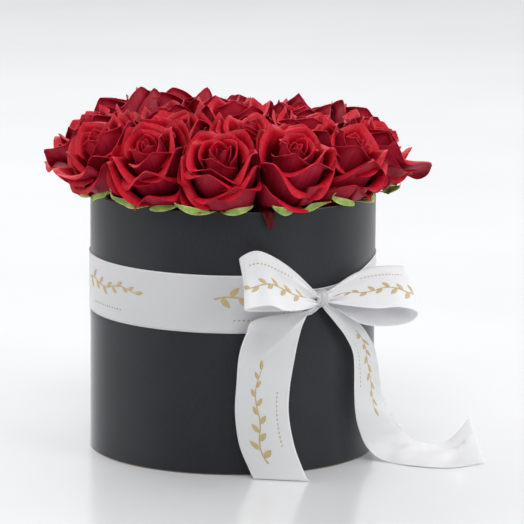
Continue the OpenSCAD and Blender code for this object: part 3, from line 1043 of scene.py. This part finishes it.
def knot():
    """The wrap that ties the bow: two layers of ribbon folded lengthwise, pleated, round a level axis."""
    rows, columns = 73, 121
    turn = np.linspace(0, 2 * pi, rows)[:, None]
    q = np.linspace(0, 1, columns)[None, :]
    outer = q > 0.5
    x = np.where(outer, -1 + 4 * (q - 0.5), 1 - 4 * q)
    waist = 1.0 - 0.30 * np.abs(x) ** 2.5
    folds = 0.62 * np.sin(13.0 * x + 0.8 * np.sin(turn))
    folds = folds + 0.36 * np.sin(23.0 * x + 2.0 + 1.5 * np.sin(turn + 1))
    radius = (4.35 + np.where(outer, 0.55, -0.55) + folds * np.where(outer, 1.0, 0.6)) * waist
    radius = radius * (1.0 + 0.05 * np.sin(2 * turn + 1.2))
    along = x * (5.0 + 0.35 * np.sin(turn + 0.6))
    grid = np.stack([along + 0.6 * np.sin(turn), -radius * np.cos(turn), radius * 1.12 * np.sin(turn)],
                    axis=-1)
    stretch = Stretch(KNOT_AT + grid * MM, np.linspace(0, KNOT_TURN, rows))
    add_ribbon("bow_knot", stretch, 0.3, [], KNOT_THICK)


loops_and_tails()
band()
knot()

# ---- stage

CAMERA_AT = Vector((-1.6458, -2.2652, 0.6538))
CAMERA_LOOK = Vector((0.58358, 0.79093, -0.18392))
CAMERA_ROLL = radians(0.49)
CAMERA_LENS = 278.5
SENSOR_WIDTH = 36.0
FLOOR_Z = -0.0002
FLOOR_HALF = 8.0
# The sky's brightness, from straight behind the object (0) to straight behind the camera (1).
SKY = [(0.0, 1.02), (0.42, 1.10), (0.58, 0.50), (1.0, 0.20)]
SKY_STRENGTH = 0.80
# Each light's name, place, aim, size and power.
LIGHTS = [
    ("key", (-1.4, -1.6, 2.7), (0, 0, 0.12), (1.2, 1.2), 38),
    ("fill", (0.6, -2.4, 1.1), (0, 0, 0.1), (1.2, 1.2), 24),
    ("back", (0.5, 1.8, 2.1), (0, 0, 0.2), (1.8, 1.0), 31),
    ("left", (-2.1, 1.0, 1.0), (0, 0, 0.1), (2.2, 1.8), 16),
    ("right", (2.3, -0.1, 1.0), (0, 0, 0.1), (2.0, 1.8), 12),
]


def camera():
    """The photo's own view."""
    data = bpy.data.cameras.new("camera")
    data.lens = CAMERA_LENS
    data.sensor_width = SENSOR_WIDTH
    data.clip_end = 100.0
    piece = link("camera", data)
    turn = CAMERA_LOOK.to_track_quat("-Z", "Y").to_matrix() @ Matrix.Rotation(CAMERA_ROLL, 3, "Z")
    piece.matrix_world = Matrix.Translation(CAMERA_AT) @ turn.to_4x4()
    bpy.context.scene.camera = piece


def area_light(name, at, towards, size, power):
    data = bpy.data.lights.new(name, "AREA")
    data.shape = "RECTANGLE"
    data.size, data.size_y = size
    data.energy = power
    piece = link(name, data)
    piece.location = at
    piece.rotation_euler = (Vector(towards) - Vector(at)).to_track_quat("-Z", "Y").to_euler()


def floor():
    """A wide pale floor with a soft gloss."""
    s = Shader("floor")
    mottle = s.noise(3.0, 2.0, s.place())
    tone = s.ramp(mottle, [(0.3, (0.74, 0.745, 0.75)), (0.7, (0.78, 0.785, 0.79))])
    s.set(Base_Color=tone, Roughness=0.20, Specular_IOR_Level=0.45)
    s.bump(s.noise(14.0, 2.0, s.place()), 0.0012, 0.15)
    corners = [(x * FLOOR_HALF, y * FLOOR_HALF, FLOOR_Z) for x, y in ((-1, -1), (1, -1), (1, 1), (-1, 1))]
    add_object("floor", corners, [(0, 1, 2, 3)], [s.data])


def sky():
    """Soft light all round, weaker from the front, so that the dark box shows pale edges."""
    s = Shader("world", bpy.data.worlds, "Background")
    way = s.node("ShaderNodeTexCoord").outputs["Generated"]
    front = (-CAMERA_LOOK.x, -CAMERA_LOOK.y, 0.0)
    facing = s.math("DOT_PRODUCT", way, front, "ShaderNodeVectorMath")
    stops = [(place, (level * 0.97, level * 0.98, level)) for place, level in SKY]
    s.set(Color=s.ramp(s.plus(s.times(facing, 0.5), 0.5), stops), Strength=SKY_STRENGTH)
    bpy.context.scene.world = s.data


camera()
floor()
sky()
for light in LIGHTS:
    area_light(*light)
bpy.context.scene.view_settings.view_transform = "Standard"
